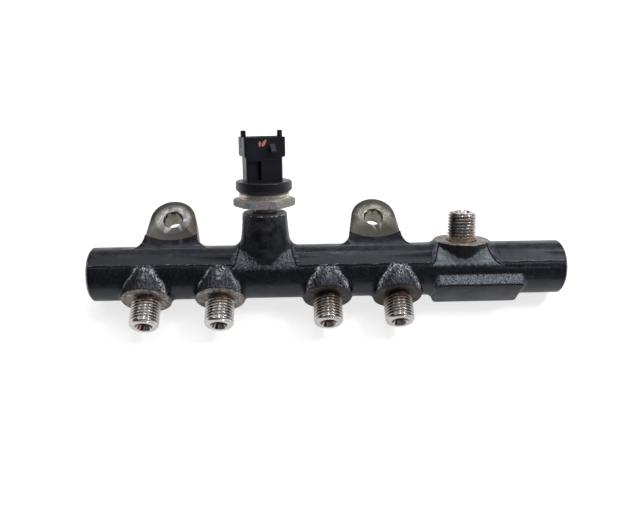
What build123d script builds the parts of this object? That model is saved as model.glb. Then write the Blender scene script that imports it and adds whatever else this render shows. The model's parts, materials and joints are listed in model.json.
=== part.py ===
"""Forged common rail of a four-cylinder diesel engine, with its screwed-in pressure sensor.

Frame: X runs along the rail, +Z is the side of the bolt heads, +Y is the way the lugs stand out.
The origin is midway between the two bolt holes, on the face that the lugs seat with.
"""

import os
from math import cos, hypot, radians, sin, sqrt, tan

from build123d import *

os.makedirs("parts", exist_ok=True)

# ---------------------------------------------------------------- driving sizes, millimetres
# Forged tube
tube_diameter = 26.4
tube_length = 232.0
left_reach = 89.0  # from the middle of the lugs to the left end
end_chamfer = 1.0
forging_draft = 3.0  # degrees
flash_land_width = 5.4  # flat that the trimming die leaves along the parting line
flash_land_clear = 17.0  # from the axis of an upper boss to the end of the flat

# Mounting lugs
lug_pitch = 101.0
lug_reach = 25.2  # rail axis to bolt axis
lug_thickness = 11.0  # between the two machined faces
lug_tip_radius = 11.2
lug_foot_width = 30.0
lug_raw_stock = 1.2  # forged skin left standing beside each machined face
lug_cutter_diameter = 48.4
lug_cutter_offset = 11.2  # cutter axis beyond the bolt axis
lug_flank_fillet = 5.0
bolt_hole = 9.0
bolt_hole_chamfer = 0.5
rail_rise = 1.2  # rail axis above the seat face

# Outlets to the injector pipes, and the inlet from the pump
outlet_1_x = -61.5
outlet_2_x = -26.2
outlet_3_x = 25.8
outlet_4_x = 60.1
outlet_lean = -90.0  # degrees from +Z towards +Y
outlet_boss_diameter = 23.8
outlet_face_height = 15.3
outlet_boss_fillet = 3.0
inlet_x = 93.2
inlet_boss_diameter = 27.0
inlet_face_height = 14.5
upper_lean = 45.0  # shared by the inlet and the sensor
upper_foot_width = 31.0
upper_foot_depth = 24.0
upper_boss_fillet = 5.0

# Pipe stub, M14 x 1.5, with a 60 degree cone for the pipe's nipple
stub_diameter = 14.0
stub_length = 14.0
stub_shoulder = 0.6
stub_nose_diameter = 11.0
stub_nose_length = 1.5
outlet_relief_diameter = 12.0
outlet_relief_length = 2.2
inlet_collar_diameter = 14.8
inlet_collar_length = 2.6
cone_mouth = 8.4
cone_angle = 60.0
passage = 3.0

# Long bore and its plug
rail_bore = 10.5
bore_point_angle = 118.0
blind_wall = 14.0
plug_diameter = 16.0
plug_length = 12.0
plug_recess = 1.2
plug_cone_angle = 90.0
plug_key = 8.0
plug_key_depth = 5.0

# Clamp pad under the right half
pad_x = 99.8
pad_length = 42.4
pad_width = 17.4
pad_depth = 15.0  # rail axis to the pad's flat
pad_draft = 7.0  # degrees
pad_corner = 2.0
pad_edge = 1.2
pad_fillet = 3.0

# Sensor boss and its tapped port, M12 x 1.5
sensor_x = -4.0
sensor_boss_diameter = 21.6
sensor_boss_height = 30.0
sensor_waist_diameter = 24.4
sensor_waist_height = 15.0
sensor_boss_edge = 0.8  # countersink of the tapped hole
sensor_boss_rim = 0.6  # bevel round the top
sensor_thread = 12.0
sensor_thread_depth = 13.0
thread_gap = 0.05

# Sensor port: nose, shank, neck, hexagon and stem, turned in one piece
port_nose_diameter = 8.5
port_nose_length = 2.0
neck_diameter = 12.7
neck_length = 3.2
neck_gap = 0.4
hexagon_flats = 27.0
hexagon_corners = 29.9
hexagon_height = 3.5
hexagon_bevel = 0.7
hexagon_bevel_angle = 30.0
stem_diameter = 8.0
stem_length = 1.6
pressure_bore = 2.6

# Measuring cell welded on the stem
cell_diameter = 9.0
cell_height = 2.4
cell_bore = 5.0
diaphragm = 0.5

# Sleeve round the electronics
sleeve_diameter = 24.5
sleeve_wall = 1.2
sleeve_height = 3.4
sleeve_foot = 1.0
sleeve_step = 0.25

# Plastic connector
cap_diameter = 27.0
cap_height = 5.1
cap_top_edge = 0.8
cap_bottom_edge = 1.0
spigot_length = 2.0
spigot_gap = 0.05
spigot_wall = 2.0
chamber_roof = 1.6
connector_turn = 18.0  # degrees about the sensor axis
connector_x = -0.5  # from the sensor axis
tower_x = -0.4  # from the connector's middle
tower_length = 17.7
tower_depth = 9.2
tower_height = 11.3
tower_corner = 1.2
shroud_length = 20.0
shroud_depth = 12.5
shroud_height = 9.3
shroud_wall = 1.5
shroud_floor = 1.2
shroud_corner = 1.2
shroud_inner_corner = 0.4
shroud_bevel = 0.8
socket_length = 12.6
socket_width = 3.6
socket_depth = 14.0
pocket_lift = 0.7
pocket_height = 9.0
pocket_length = 6.5
pocket_depth = 2.0
pocket_wall = 0.5
pocket_block_length = 0.8
pocket_block_height = 3.9
groove_width = 1.2
groove_depth = 3.2
latch_x = 3.3
latch_width = 2.5
latch_height = 4.2
latch_rise = 2.8
latch_drop = 3.0  # rim to the top of the latch
latch_lip = 0.8
guide_size = 2.3
guide_height = 8.0
guide_rise = 3.0
guide_round = 0.6
guide_slot_width = 1.0
guide_slot_height = 5.0
guide_slot_depth = 0.6

# Contacts and electronics
pin_count = 3
pin_pitch = 3.6
pin_width = 1.5
pin_thickness = 0.8
pin_rise = 8.5
pin_tail = 0.2
carrier_gap = 0.2
carrier_bore = 9.6
board_room = 0.5  # round the board's edge
board_thickness = 1.0
board_gap = 0.2
chip_size = 3.4
chip_height = 0.7
chip_margin = 1.2  # to the board's edge
spring_length = 3.2
spring_width = 1.4
spring_strip = 0.2
spring_opening = 0.9
seal_width = 1.4
seal_height = 1.4

seam_tolerance = 0.01  # for finding a seam on the tube

# ---------------------------------------------------------------- places worked out from them
rail_y = -lug_reach
rail_z = rail_rise
tube_radius = tube_diameter / 2
left_end = -left_reach
right_end = left_end + tube_length
rail_axis = Axis((0, rail_y, rail_z), (1, 0, 0))
lug_x = (-lug_pitch / 2, lug_pitch / 2)
outlet_x = (outlet_1_x, outlet_2_x, outlet_3_x, outlet_4_x)
flash_land_height = sqrt(tube_radius**2 - (flash_land_width / 2) ** 2)
sensor_seat = sensor_boss_height - sensor_thread_depth
hexagon_base = sensor_boss_height + neck_length
hexagon_top = hexagon_base + hexagon_height
stem_top = hexagon_top + stem_length
cell_top = stem_top + cell_height
sleeve_bore = sleeve_diameter - 2 * sleeve_wall
cap_base = hexagon_top + sleeve_height
cap_top = cap_base + cap_height
spigot_base = cap_base - spigot_length
chamber_diameter = sleeve_bore - 2 * (spigot_gap + spigot_wall)
chamber_top = cap_top - chamber_roof
tower_top = cap_top + tower_height
rim = tower_top + shroud_height
socket_floor = rim - socket_depth
connector_front = -shroud_depth / 2
carrier_diameter = chamber_diameter - 2 * carrier_gap
board_diameter = chamber_diameter - 2 * board_room
board_base = cell_top + board_gap
board_top = board_base + board_thickness
chip_y = board_diameter / 2 - chip_margin - chip_size / 2
pin_base = chamber_top - pin_tail
pin_places = [(i - (pin_count - 1) / 2) * pin_pitch for i in range(pin_count)]


def direction(lean):
    """Unit vector that leans from +Z towards +Y."""
    return (0, sin(radians(lean)), cos(radians(lean)))


def cross_plane(x, lean, height=0.0):
    """Plane across a boss, at a height above the rail axis."""
    out = direction(lean)
    origin = (x, rail_y + out[1] * height, rail_z + out[2] * height)
    return Plane(origin=origin, x_dir=(1, 0, 0), z_dir=out)


def axial_plane(x, lean):
    """Plane through a boss's axis, with its local Y along that axis."""
    out = direction(lean)
    return Plane(origin=(x, rail_y, rail_z), x_dir=(1, 0, 0), z_dir=(0, -out[2], out[1]))


def sensor_plane(height):
    """Plane across the sensor."""
    return cross_plane(sensor_x, upper_lean, height)


def connector_plane(height):
    """Plane across the connector, turned about the sensor's axis; its front is local -Y."""
    straight = sensor_plane(height)
    angle = radians(connector_turn)
    origin = straight.from_local_coords((connector_x, 0, 0))
    x_dir = straight.x_dir * cos(angle) + straight.y_dir * sin(angle)
    return Plane(origin=origin, x_dir=x_dir, z_dir=straight.z_dir)


def connector_side_plane(x):
    """Plane through the connector along its axis; local X is the connector's Y, local Y its height."""
    across = connector_plane(0)
    origin = across.from_local_coords((x, 0, 0))
    return Plane(origin=origin, x_dir=across.y_dir, z_dir=across.x_dir)


def connector_front_plane(y):
    """Plane across the connector's front; local X is the connector's X, local Y its height."""
    across = connector_plane(0)
    origin = across.from_local_coords((0, y, 0))
    return Plane(origin=origin, x_dir=across.x_dir, z_dir=-across.y_dir)


def turn(x, lean, points, mode=Mode.ADD):
    """Revolves an outline of (radius, height) points about a boss's axis."""
    with BuildSketch(axial_plane(x, lean)) as outline:
        with BuildLine():
            Polyline(*points, close=True)
        make_face()
    revolve(outline.sketch, axis=Axis((x, rail_y, rail_z), direction(lean)), mode=mode)


def turn_sensor(points, mode=Mode.ADD):
    """Revolves an outline about the sensor's axis."""
    turn(sensor_x, upper_lean, points, mode)


def height_on_sensor(point):
    """How far a point lies along the sensor's axis."""
    return (point - sensor_plane(0).origin).dot(sensor_plane(0).z_dir)


def lies_on_tube(edge):
    """True for the seam where a boss or lug grows out of the tube's round skin."""
    if edge.geom_type in (GeomType.LINE, GeomType.CIRCLE):
        return False
    points = [edge @ share for share in (0, 0.25, 0.5, 0.75, 1)]
    offsets = [hypot(point.Y - rail_y, point.Z - rail_z) - tube_radius for point in points]
    return max(abs(offset) for offset in offsets) < seam_tolerance


def pipe_stub(x, lean, face, foot_diameter, foot_length):
    """Threaded stub on a boss: foot, thread blank and chamfered nose."""
    tip = face + stub_length
    turn(
        x,
        lean,
        [
            (0, 0),
            (foot_diameter / 2, 0),
            (foot_diameter / 2, face + foot_length - stub_shoulder),
            (stub_diameter / 2, face + foot_length),
            (stub_diameter / 2, tip - stub_nose_length),
            (stub_nose_diameter / 2, tip),
            (0, tip),
        ],
    )


def pipe_seat(x, lean, tip):
    """Cone seat in a stub's nose, with the drilling down to the long bore."""
    depth = (cone_mouth - passage) / 2 / tan(radians(cone_angle / 2))
    points = [(0, 0), (passage / 2, 0), (passage / 2, tip - depth), (cone_mouth / 2, tip), (0, tip)]
    turn(x, lean, points, Mode.SUBTRACT)


# ---------------------------------------------------------------- rail body
with BuildPart() as rail_body:
    # Round tube, forged with everything that follows
    with BuildSketch(Plane.YZ.offset(left_end)):
        with Locations((rail_y, rail_z)):
            Circle(tube_radius)
    extrude(amount=tube_length)

    # Clamp pad
    pad_growth = 2 * pad_depth * tan(radians(pad_draft))
    with BuildSketch(cross_plane(pad_x, outlet_lean)):
        RectangleRounded(pad_length + pad_growth, pad_width + pad_growth, pad_corner + pad_growth / 2)
    extrude(amount=pad_depth, taper=pad_draft)
    pad_flat = rail_body.faces().sort_by_distance((pad_x, rail_y - pad_depth, rail_z))[0]
    fillet(pad_flat.edges(), pad_edge)
    fillet(rail_body.edges().filter_by(lies_on_tube), pad_fillet)

    # Lugs, spreading to a wide foot on the tube
    for x in lug_x:
        with BuildSketch(Plane.XY.offset(-lug_raw_stock)):
            with Locations((x, 0)):
                Circle(lug_tip_radius)
            with Locations((x, rail_y)):
                Rectangle(lug_foot_width, lug_raw_stock)
            make_hull()
        extrude(amount=lug_thickness + 2 * lug_raw_stock)
        fillet(rail_body.edges(Select.LAST).filter_by(lies_on_tube), lug_flank_fillet)

    # Outlet bosses
    for x in outlet_x:
        with BuildSketch(cross_plane(x, outlet_lean)):
            Circle(outlet_boss_diameter / 2 + outlet_face_height * tan(radians(forging_draft)))
        extrude(amount=outlet_face_height, taper=forging_draft)
        fillet(rail_body.edges(Select.LAST).filter_by(lies_on_tube), outlet_boss_fillet)

    # Sensor boss, waisted between its round top and a foot drawn out along the tube
    with BuildSketch(sensor_plane(0)):
        Ellipse(upper_foot_width / 2, upper_foot_depth / 2)
    with BuildSketch(sensor_plane(sensor_waist_height)):
        Ellipse(sensor_waist_diameter / 2, upper_foot_depth / 2)
    with BuildSketch(sensor_plane(sensor_boss_height)):
        Circle(sensor_boss_diameter / 2)
    loft()
    fillet(rail_body.edges(Select.LAST).filter_by(lies_on_tube), upper_boss_fillet)
    boss_top = rail_body.faces().sort_by_distance(sensor_plane(sensor_boss_height).origin)[0]
    chamfer(boss_top.edges(), sensor_boss_rim)

    # Inlet boss
    with BuildSketch(cross_plane(inlet_x, upper_lean)):
        Ellipse(upper_foot_width / 2, upper_foot_depth / 2)
    with BuildSketch(cross_plane(inlet_x, upper_lean, inlet_face_height)):
        Circle(inlet_boss_diameter / 2)
    loft()
    fillet(rail_body.edges(Select.LAST).filter_by(lies_on_tube), upper_boss_fillet)

    # Flat land where the flash is trimmed, on the front between the bosses and along the back
    front_ends = [left_end, sensor_x - flash_land_clear, sensor_x + flash_land_clear]
    front_ends += [inlet_x - flash_land_clear, inlet_x + flash_land_clear, right_end]
    with BuildSketch(Plane.XY.offset(rail_z + flash_land_height)):
        for start, end in zip(front_ends[0::2], front_ends[1::2]):
            with Locations(((start + end) / 2, rail_y)):
                Rectangle(end - start, flash_land_width)
    extrude(amount=tube_radius, mode=Mode.SUBTRACT)
    with BuildSketch(Plane.XY.offset(rail_z - flash_land_height)):
        with Locations(((left_end + right_end) / 2, rail_y)):
            Rectangle(tube_length, flash_land_width)
    extrude(amount=-tube_radius, mode=Mode.SUBTRACT)

    # Machined faces of the lugs, and the bolt holes
    for x in lug_x:
        for base, depth in ((lug_thickness, 2 * lug_raw_stock), (0, -2 * lug_raw_stock)):
            with BuildSketch(Plane.XY.offset(base)):
                with Locations((x, lug_cutter_offset)):
                    Circle(lug_cutter_diameter / 2)
            extrude(amount=depth, mode=Mode.SUBTRACT)
        with BuildSketch(Plane.XY.offset(lug_thickness)):
            with Locations((x, 0)):
                Circle(bolt_hole / 2)
        extrude(amount=-lug_thickness, mode=Mode.SUBTRACT)
        chamfer(rail_body.edges(Select.LAST).filter_by(GeomType.CIRCLE), bolt_hole_chamfer)

    # Turned bevels on both ends
    for end, inward in ((left_end, 1), (right_end, -1)):
        inner, outer = tube_radius - end_chamfer, tube_radius + end_chamfer
        with BuildSketch(Plane.XY.offset(rail_z)):
            with BuildLine():
                Polyline(
                    (end, rail_y + inner),
                    (end, rail_y + outer),
                    (end + inward * 2 * end_chamfer, rail_y + outer),
                    close=True,
                )
            make_face()
        revolve(axis=rail_axis, mode=Mode.SUBTRACT)

    # Pipe stubs
    for x in outlet_x:
        pipe_stub(x, outlet_lean, outlet_face_height, outlet_relief_diameter, outlet_relief_length)
    pipe_stub(inlet_x, upper_lean, inlet_face_height, inlet_collar_diameter, inlet_collar_length)

    # Long bore, with the plug's tapped mouth and cone seat at the left end
    mouth_depth = plug_recess + plug_length
    cone_depth = (plug_diameter - rail_bore) / 2 / tan(radians(plug_cone_angle / 2))
    point_depth = rail_bore / 2 / tan(radians(bore_point_angle / 2))
    with BuildSketch(Plane.XY.offset(rail_z)):
        with BuildLine():
            Polyline(
                (left_end, rail_y),
                (left_end, rail_y + plug_diameter / 2),
                (left_end + mouth_depth - cone_depth, rail_y + plug_diameter / 2),
                (left_end + mouth_depth, rail_y + rail_bore / 2),
                (right_end - blind_wall, rail_y + rail_bore / 2),
                (right_end - blind_wall + point_depth, rail_y),
                close=True,
            )
        make_face()
    revolve(axis=rail_axis, mode=Mode.SUBTRACT)

    # Cone seats and the sensor's tapped port
    for x in outlet_x:
        pipe_seat(x, outlet_lean, outlet_face_height + stub_length)
    pipe_seat(inlet_x, upper_lean, inlet_face_height + stub_length)
    turn_sensor(
        [
            (0, 0),
            (passage / 2, 0),
            (passage / 2, sensor_seat),
            (sensor_thread / 2, sensor_seat),
            (sensor_thread / 2, sensor_boss_height - sensor_boss_edge),
            (sensor_thread / 2 + sensor_boss_edge, sensor_boss_height),
            (0, sensor_boss_height),
        ],
        Mode.SUBTRACT,
    )

# ---------------------------------------------------------------- end plug
with BuildPart() as end_plug:
    plug_face = left_end + plug_recess
    plug_radius = plug_diameter / 2 - thread_gap
    with BuildSketch(Plane.XY.offset(rail_z)):
        with BuildLine():
            Polyline(
                (plug_face, rail_y),
                (plug_face, rail_y + plug_radius - end_chamfer),
                (plug_face + end_chamfer, rail_y + plug_radius),
                (plug_face + plug_length - cone_depth + thread_gap, rail_y + plug_radius),
                (plug_face + plug_length, rail_y + rail_bore / 2),
                (plug_face + plug_length, rail_y),
                close=True,
            )
        make_face()
    revolve(axis=rail_axis)
    with BuildSketch(Plane.YZ.offset(plug_face)):
        with Locations((rail_y, rail_z)):
            RegularPolygon(plug_key / 2, 6, major_radius=False)
    extrude(amount=plug_key_depth, mode=Mode.SUBTRACT)

# ---------------------------------------------------------------- sensor port
with BuildPart() as sensor_port:
    shank_radius = sensor_thread / 2 - thread_gap
    turn_sensor(
        [
            (0, sensor_seat),
            (port_nose_diameter / 2, sensor_seat),
            (port_nose_diameter / 2, sensor_seat + port_nose_length),
            (shank_radius, sensor_seat + 2 * port_nose_length),
            (shank_radius, sensor_boss_height + neck_gap),
            (neck_diameter / 2, sensor_boss_height + neck_gap),
            (neck_diameter / 2, hexagon_base),
            (0, hexagon_base),
        ]
    )
    with BuildSketch(sensor_plane(hexagon_base)):
        RegularPolygon(hexagon_flats / 2, 6, major_radius=False)
        Circle(hexagon_corners / 2, mode=Mode.INTERSECT)
    extrude(amount=hexagon_height)
    bevel_rise = hexagon_bevel * tan(radians(hexagon_bevel_angle))
    for level, rise in ((hexagon_base, bevel_rise), (hexagon_top, -bevel_rise)):
        outer = hexagon_corners / 2
        ring = [(outer - hexagon_bevel, level), (outer + hexagon_bevel, level)]
        ring += [(outer + hexagon_bevel, level + 2 * rise)]
        turn_sensor(ring, Mode.SUBTRACT)
    with BuildSketch(sensor_plane(hexagon_top)):
        Circle(stem_diameter / 2)
    extrude(amount=stem_length)
    with BuildSketch(sensor_plane(sensor_seat)):
        Circle(pressure_bore / 2)
    extrude(amount=stem_top - sensor_seat, mode=Mode.SUBTRACT)

# ---------------------------------------------------------------- measuring cell
with BuildPart() as sensor_measuring_cell:
    cell_radius = cell_diameter / 2
    turn_sensor([(0, stem_top), (cell_radius, stem_top), (cell_radius, cell_top), (0, cell_top)])
    chamber = [(0, stem_top), (pressure_bore / 2, stem_top), (cell_bore / 2, stem_top + diaphragm)]
    chamber += [(cell_bore / 2, cell_top - diaphragm), (0, cell_top - diaphragm)]
    turn_sensor(chamber, Mode.SUBTRACT)

# ---------------------------------------------------------------- sleeve
with BuildPart() as sensor_sleeve:
    turn_sensor(
        [
            (sleeve_bore / 2, hexagon_top),
            (sleeve_diameter / 2, hexagon_top),
            (sleeve_diameter / 2, hexagon_top + sleeve_foot),
            (sleeve_diameter / 2 - sleeve_step, hexagon_top + sleeve_foot + sleeve_step),
            (sleeve_diameter / 2 - sleeve_step, cap_base),
            (sleeve_bore / 2, cap_base),
        ]
    )

# ---------------------------------------------------------------- seal ring under the connector
with BuildPart() as sensor_seal_ring:
    seal_outside = sleeve_bore / 2 - spigot_gap
    seal_inside = seal_outside - seal_width
    seal_base = spigot_base - seal_height
    turn_sensor(
        [
            (seal_inside, seal_base),
            (seal_outside, seal_base),
            (seal_outside, spigot_base),
            (seal_inside, spigot_base),
        ]
    )

# ---------------------------------------------------------------- plastic connector
with BuildPart() as sensor_connector:
    # Round cap with its spigot
    turn_sensor([(0, cap_base), (cap_diameter / 2, cap_base), (cap_diameter / 2, cap_top), (0, cap_top)])
    cap_rims = sensor_connector.edges().filter_by(GeomType.CIRCLE)
    cap_rims = cap_rims.sort_by(lambda edge: edge.center().Z)
    fillet(cap_rims[-1], cap_top_edge)
    chamfer(cap_rims[0], cap_bottom_edge)
    with BuildSketch(sensor_plane(cap_base)):
        Circle(sleeve_bore / 2 - spigot_gap)
    extrude(amount=-spigot_length)

    # Tower, and the wider shroud on top of it, flush at the front
    with BuildSketch(connector_plane(cap_top)):
        with Locations((tower_x, connector_front + tower_depth / 2)):
            RectangleRounded(tower_length, tower_depth, tower_corner)
    extrude(amount=tower_height)
    with BuildSketch(connector_plane(tower_top)):
        RectangleRounded(shroud_length, shroud_depth, shroud_corner)
    extrude(amount=shroud_height)
    for end in (-1, 1):
        with BuildSketch(connector_front_plane(shroud_depth / 2)):
            with BuildLine():
                Polyline(
                    (end * (shroud_length / 2 - shroud_bevel), tower_top),
                    (end * shroud_length / 2, tower_top + shroud_bevel),
                    (end * (shroud_length / 2 + shroud_bevel), tower_top + shroud_bevel),
                    (end * (shroud_length / 2 + shroud_bevel), tower_top),
                    close=True,
                )
            make_face()
        extrude(amount=shroud_depth, mode=Mode.SUBTRACT)

    # Cored pocket in the left of the tower's front, deeper in a groove along its right side
    pocket_base = cap_top + pocket_lift
    pocket_top = pocket_base + pocket_height
    pocket_left = tower_x - tower_length / 2 + pocket_wall
    block_right = pocket_left + pocket_block_length
    groove_right = pocket_left + pocket_length
    groove_left = groove_right - groove_width
    for base, left, right, depth in (
        (pocket_base + pocket_block_height, pocket_left, block_right, pocket_depth),
        (pocket_base, block_right, groove_left, pocket_depth),
        (pocket_base, groove_left, groove_right, groove_depth),
    ):
        with BuildSketch(connector_plane(base)):
            with Locations(((left + right) / 2, connector_front)):
                Rectangle(right - left, 2 * depth)
        extrude(amount=pocket_top - base, mode=Mode.SUBTRACT)

    # Wedge that the plug's latch snaps over
    ramp_top = rim - latch_drop
    ramp_foot = ramp_top - latch_height
    with BuildSketch(connector_side_plane(latch_x - latch_width / 2)):
        with BuildLine():
            Polyline(
                (connector_front, ramp_top),
                (connector_front - latch_rise, ramp_foot + latch_lip),
                (connector_front - latch_rise, ramp_foot),
                (connector_front + shroud_wall / 2, ramp_foot),
                (connector_front + shroud_wall / 2, ramp_top),
                close=True,
            )
        make_face()
    extrude(amount=latch_width)

    # Socket: wide in the shroud, narrower down in the tower
    with BuildSketch(connector_plane(rim)):
        RectangleRounded(
            shroud_length - 2 * shroud_wall, shroud_depth - 2 * shroud_wall, shroud_inner_corner
        )
    extrude(amount=shroud_floor - shroud_height, mode=Mode.SUBTRACT)
    with BuildSketch(connector_plane(rim)):
        Rectangle(socket_length, socket_width)
    extrude(amount=-socket_depth, mode=Mode.SUBTRACT)

    # Guide posts on the end walls, each above a slot in the wall's outer face
    for end in (-1, 1):
        with BuildSketch(connector_plane(rim + guide_rise)):
            with Locations((end * (shroud_length - guide_size) / 2, 0)):
                RectangleRounded(guide_size, guide_size, guide_round)
        extrude(amount=-guide_height)
        with BuildSketch(connector_plane(rim)):
            with Locations((end * shroud_length / 2, 0)):
                Rectangle(2 * guide_slot_depth, guide_slot_width)
        extrude(amount=-guide_slot_height, mode=Mode.SUBTRACT)
    post_tops = sensor_connector.faces().sort_by(lambda face: height_on_sensor(face.center()))[-2:]
    chamfer(post_tops.edges(), guide_round / 2)

    # Chamber for the electronics, and the slits that the terminals pass through
    with BuildSketch(sensor_plane(spigot_base)):
        Circle(chamber_diameter / 2)
    extrude(amount=chamber_top - spigot_base, mode=Mode.SUBTRACT)
    with BuildSketch(connector_plane(chamber_top)):
        with Locations(*[(place, 0) for place in pin_places]):
            Rectangle(pin_width + 2 * thread_gap, pin_thickness + 2 * thread_gap)
    extrude(amount=socket_floor - chamber_top, mode=Mode.SUBTRACT)

# ---------------------------------------------------------------- carrier ring under the board
with BuildPart() as sensor_board_carrier:
    with BuildSketch(sensor_plane(hexagon_top)):
        Circle(carrier_diameter / 2)
        Circle(carrier_bore / 2, mode=Mode.SUBTRACT)
    extrude(amount=board_base - hexagon_top)

# ---------------------------------------------------------------- circuit board and its chip
with BuildPart() as sensor_circuit_board:
    with BuildSketch(sensor_plane(board_base)):
        Circle(board_diameter / 2)
    extrude(amount=board_thickness)

with BuildPart() as sensor_chip:
    with BuildSketch(connector_plane(board_top)):
        with Locations((0, chip_y)):
            Rectangle(chip_size, chip_size)
    extrude(amount=chip_height)

# ---------------------------------------------------------------- terminals and contact springs
terminals = []
springs = []
spring_height = pin_base - board_top
hollow_length = spring_length - 2 * spring_strip
hollow_height = spring_height - 2 * spring_strip
for place in pin_places:
    with BuildPart() as terminal:
        with BuildSketch(connector_plane(pin_base)):
            with Locations((place, 0)):
                Rectangle(pin_width, pin_thickness)
        extrude(amount=socket_floor + pin_rise - pin_base)
        pin_tip = terminal.faces().sort_by(lambda face: height_on_sensor(face.center()))[-1]
        chamfer(pin_tip.edges(), pin_thickness / 4)
    terminals.append(terminal)

    # Leaf folded back on itself, open on one side
    with BuildPart() as spring:
        with BuildSketch(connector_side_plane(place - spring_width / 2)):
            with Locations((0, board_top + spring_height / 2)):
                SlotOverall(spring_length, spring_height)
                SlotOverall(hollow_length, hollow_height, mode=Mode.SUBTRACT)
            with Locations(((spring_opening - spring_length) / 2, board_top + spring_height / 2)):
                Rectangle(spring_opening, spring_height, mode=Mode.SUBTRACT)
        extrude(amount=spring_width)
    springs.append(spring)

# ---------------------------------------------------------------- files
nodes = {
    "rail_body": rail_body,
    "end_plug": end_plug,
    "sensor_port": sensor_port,
    "sensor_measuring_cell": sensor_measuring_cell,
    "sensor_sleeve": sensor_sleeve,
    "sensor_seal_ring": sensor_seal_ring,
    "sensor_connector": sensor_connector,
    "sensor_board_carrier": sensor_board_carrier,
    "sensor_circuit_board": sensor_circuit_board,
    "sensor_chip": sensor_chip,
}
for number, (terminal, spring) in enumerate(zip(terminals, springs), 1):
    nodes[f"sensor_terminal_{number}"] = terminal
    nodes[f"sensor_contact_spring_{number}"] = spring
for name, node in nodes.items():
    node.part.label = name
    export_step(node.part, f"parts/{name}.step")
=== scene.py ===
"""Looks of a forged diesel common rail: painted forging skin, machined steel, threads, rust and the sensor.

The frame is that of the CAD part: X runs along the rail, +Z is the side of the bolt heads and +Y is the
way the lugs stand out. The scene is in metres, and sizes here are in millimetres unless they say otherwise.
"""

import json
from math import cos, pi, radians, sin

import bpy
import numpy as np
from mathutils import Matrix, Vector, noise


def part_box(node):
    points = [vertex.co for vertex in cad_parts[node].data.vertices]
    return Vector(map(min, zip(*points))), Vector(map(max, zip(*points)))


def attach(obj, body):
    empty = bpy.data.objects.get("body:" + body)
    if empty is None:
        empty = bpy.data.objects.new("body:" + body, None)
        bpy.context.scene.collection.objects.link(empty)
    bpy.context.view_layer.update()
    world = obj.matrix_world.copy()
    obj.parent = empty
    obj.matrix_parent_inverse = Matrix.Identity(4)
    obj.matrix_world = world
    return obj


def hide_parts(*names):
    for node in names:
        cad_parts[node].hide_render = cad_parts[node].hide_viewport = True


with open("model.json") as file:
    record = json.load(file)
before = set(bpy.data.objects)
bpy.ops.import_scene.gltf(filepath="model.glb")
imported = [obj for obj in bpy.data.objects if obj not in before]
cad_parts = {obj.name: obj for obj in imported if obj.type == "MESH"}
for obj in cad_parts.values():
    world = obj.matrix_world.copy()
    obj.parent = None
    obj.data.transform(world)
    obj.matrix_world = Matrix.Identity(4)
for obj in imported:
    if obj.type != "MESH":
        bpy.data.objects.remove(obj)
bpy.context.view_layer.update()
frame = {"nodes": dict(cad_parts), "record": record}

MM = 0.001

# ---------------- sizes of the forging, millimetres
TUBE_RADIUS = 13.2
LAND_HALF_WIDTH = 2.7
END_BEVEL = 1.0
LUG_THICKNESS = 11.0
BOLT_HOLE_RADIUS = 4.5
BOLT_HEAD_RADIUS = 8.9
OUTLET_FACE = 15.3
INLET_FACE = 14.5
SENSOR_FACE = 30.0
STUB_CLEAR = 7.6  # everything nearer than this to a stub's axis, past its flange, is remade
SMALLEST_STEP = 0.02  # surfaces nearer to each other than this are the same one
BORE_LIMIT = TUBE_RADIUS - 1.2  # nearer to the long axis than this is bore, and not skin
BOSS_REACH = 14.5  # half of the length of rail that belongs to one boss
LAND_HEIGHT = 12.92  # of the trim land, above the rail's middle
FOLD_WIDTH = 0.32
BARE_RIM = 0.5  # height of the sensor boss that was turned bare
TOP_REACH = 22.0  # half of the length of rail that belongs to an upper boss
LUG_WEB = 7.1  # the lugs' trimmed web begins this far above the rail's middle
LUG_REACH = 24.0
STEP_HEIGHT = 0.6  # of the trim land's lower edge, at most
SKIN_EDGE = 2.2  # longest edge of the skin where it is plain, where it is scaly and along the marks
SCALE_EDGE = 0.56
MARK_EDGE = 0.4
BORE_EDGE = 50.0
PAD_LEFT = 76.5
PAD_RIGHT = 122.0
PAD_FLAT = 14.5  # the clamp pad's flat is this far below the rail's middle
SKIN_TRIANGLES = 185000
FAR = 99.0  # stands for a distance where a border doesn't reach

# Strength of painted shade and of painted glints on the four outlet bosses, left to right
LEFT_SHADE = (0.85, 0.6, 0.0, 0.0)
RIGHT_PAINTED_GLINT = (1.0, 0.55, 0.8, 0.9)
MIDDLE_PAINTED_GLINT = (0.35, 0.75, 0.5, 0.9)
LEFT_PAINTED_GLINT = (0.0, 0.0, 0.65, 0.9)

# Borders of the raw skin, as pairs of a place and a half width or height
OUTLET_SKIN = ((2.6, 2.6), (4.2, 3.7), (8.0, 6.2), (11.0, 9.2), (13.5, 10.1), (15.3, 10.8))  # out, half width
LAND_LOWER_EDGE = ((-89.0, 3.2), (-22.0, 3.3), (12.0, 4.3), (143.0, 4.4))  # along the rail, below its middle
SENSOR_SIDE = ((4.4, 16.5), (5.1, 15.6), (6.4, 14.4), (9.5, 13.2), (12.8, 12.5))  # height, half width
SENSOR_TURNED = ((0.0, 6.3), (2.8, 6.4), (6.2, 9.8), (8.8, 11.8), (11.8, 12.7), (14.0, 13.4))  # across, height
INLET_LEFT = ((4.4, 17.0), (5.3, 16.0), (8.3, 14.2), (11.2, 13.3), (14.3, 12.1))
INLET_RIGHT = ((4.4, 16.4), (5.3, 15.2), (6.2, 13.9), (7.9, 12.6), (10.5, 11.5), (14.2, 9.7))
INLET_TURNED = (
    (-13.0, 13.2), (-11.0, 12.1), (-7.2, 9.9), (-4.9, 8.3), (-1.2, 7.7), (1.2, 8.2), (5.1, 10.8), (9.8, 12.8),
)
RAW_FOOT = 5.7  # the raw skin of the upper bosses ends this far below the rail's middle

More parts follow.
